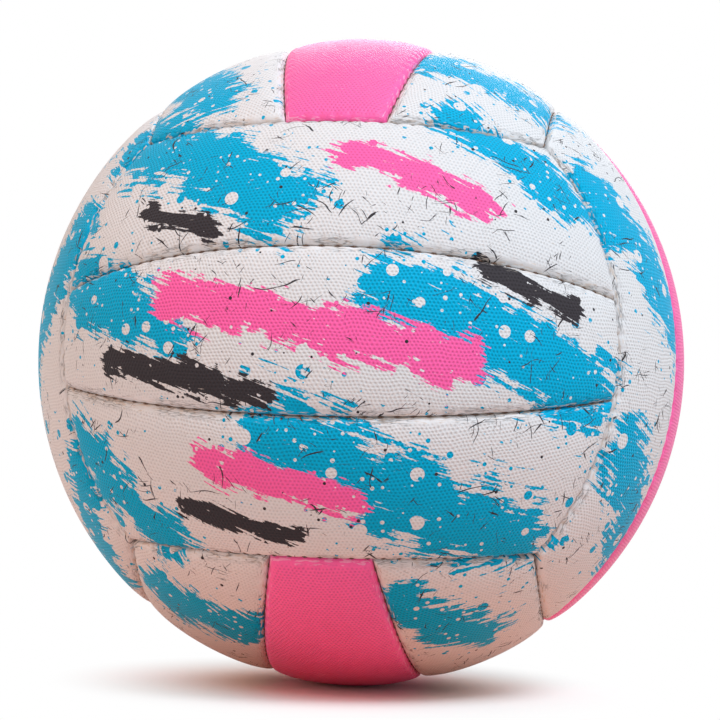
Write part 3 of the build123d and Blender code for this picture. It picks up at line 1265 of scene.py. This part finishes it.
def lay_floor(radius):
    """A wide round floor that the ball rests on."""
    deselect_all()
    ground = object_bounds()[0].z
    bpy.ops.mesh.primitive_circle_add(
        vertices=FLOOR_SIDES, radius=FLOOR_RADIUS, fill_type="NGON", location=(0, 0, ground)
    )
    floor = bpy.context.object
    floor.name = "studio_floor"
    bpy.ops.object.transform_apply(location=True, rotation=True, scale=True)
    floor.data.materials.append(floor_paint(radius))
    floor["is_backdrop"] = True


def light_air(scene):
    """Even light from all sides, and a white background where it is seen."""
    world = bpy.data.worlds.new("studio_air")
    scene.world = world
    world.use_nodes = True
    tree = world.node_tree
    tree.nodes.clear()
    strength = put(
        tree, "MapRange", {"Value": seen_share(tree), "To Min": AIR_STRENGTH, "To Max": SEEN_STRENGTH}
    )
    air = put(tree, "Background", {"Color": WHITE, "Strength": strength})
    put(tree, "OutputWorld", {"Surface": air})


def hang_lamps():
    """Soft square lamps that look at the ball's centre."""
    for name, (place, size, power, tint) in LAMPS.items():
        deselect_all()
        bpy.ops.object.light_add(type="AREA", location=place)
        lamp = bpy.context.object
        lamp.name = name
        lamp.data.size = size
        lamp.data.energy = power
        lamp.data.color = linear(tint)[:3]
        lamp.rotation_euler = (-Vector(place)).to_track_quat("-Z", "Y").to_euler()


def set_camera(scene, radius):
    """The photograph's view of the ball."""
    roll = Matrix.Rotation(CAMERA_ROLL, 3, "Y")
    pitch = Matrix.Rotation(CAMERA_PITCH, 3, "X")
    yaw = Matrix.Rotation(CAMERA_YAW, 3, "Z")
    right, ahead, up = roll @ pitch @ yaw
    deselect_all()
    bpy.ops.object.camera_add()
    camera = bpy.context.object
    camera.name = "photo_camera"
    facing = Matrix((right, up, -ahead)).transposed().to_4x4()
    camera.matrix_world = Matrix.Translation(ahead * (-CAMERA_RADII_AWAY * radius)) @ facing
    camera.data.sensor_width = CAMERA_SENSOR_MM
    camera.data.lens = CAMERA_LENS_MM
    camera.data.shift_x = SHIFT_PIXELS[0] / FRAME_PIXELS
    camera.data.shift_y = SHIFT_PIXELS[1] / FRAME_PIXELS
    scene.camera = camera


class NETBALL_OT_stage(bpy.types.Operator):
    """Set the pale floor, the soft lamps and the camera"""

    bl_idname = "netball.stage"
    bl_label = "Studio"

    def execute(self, context):
        scene = context.scene
        radius = scene.netball_sizes.ball_radius
        scene.view_settings.view_transform = "Standard"
        lay_floor(radius)
        light_air(scene)
        hang_lamps()
        set_camera(scene, radius)
        return {"FINISHED"}


# Sidebar and registration


class NETBALL_PT_sidebar(bpy.types.Panel):
    """Lists the netball's sizes, colours and pieces"""

    bl_label = "Netball"
    bl_idname = "NETBALL_PT_sidebar"
    bl_space_type = "VIEW_3D"
    bl_region_type = "UI"
    bl_category = "Netball"

    def draw(self, context):
        layout = self.layout
        for group in (context.scene.netball_sizes, context.scene.netball_colours):
            for name in group.__annotations__:
                layout.prop(group, name)
        for operator in OPERATORS:
            layout.operator(operator.bl_idname)


OPERATORS = (NETBALL_OT_strips, NETBALL_OT_threads, NETBALL_OT_valve, NETBALL_OT_insides, NETBALL_OT_stage)
CLASSES = (NetballSizes, NetballColours) + OPERATORS + (NETBALL_PT_sidebar,)


def register():
    for cls in CLASSES:
        bpy.utils.register_class(cls)
    bpy.types.Scene.netball_sizes = bpy.props.PointerProperty(type=NetballSizes)
    bpy.types.Scene.netball_colours = bpy.props.PointerProperty(type=NetballColours)


def unregister():
    del bpy.types.Scene.netball_colours
    del bpy.types.Scene.netball_sizes
    for cls in reversed(CLASSES):
        bpy.utils.unregister_class(cls)


def main():
    register()
    bpy.ops.netball.strips()
    bpy.ops.netball.threads()
    bpy.ops.netball.valve()
    bpy.ops.netball.insides()
    bpy.ops.netball.stage()


if __name__ == "__main__":
    main()
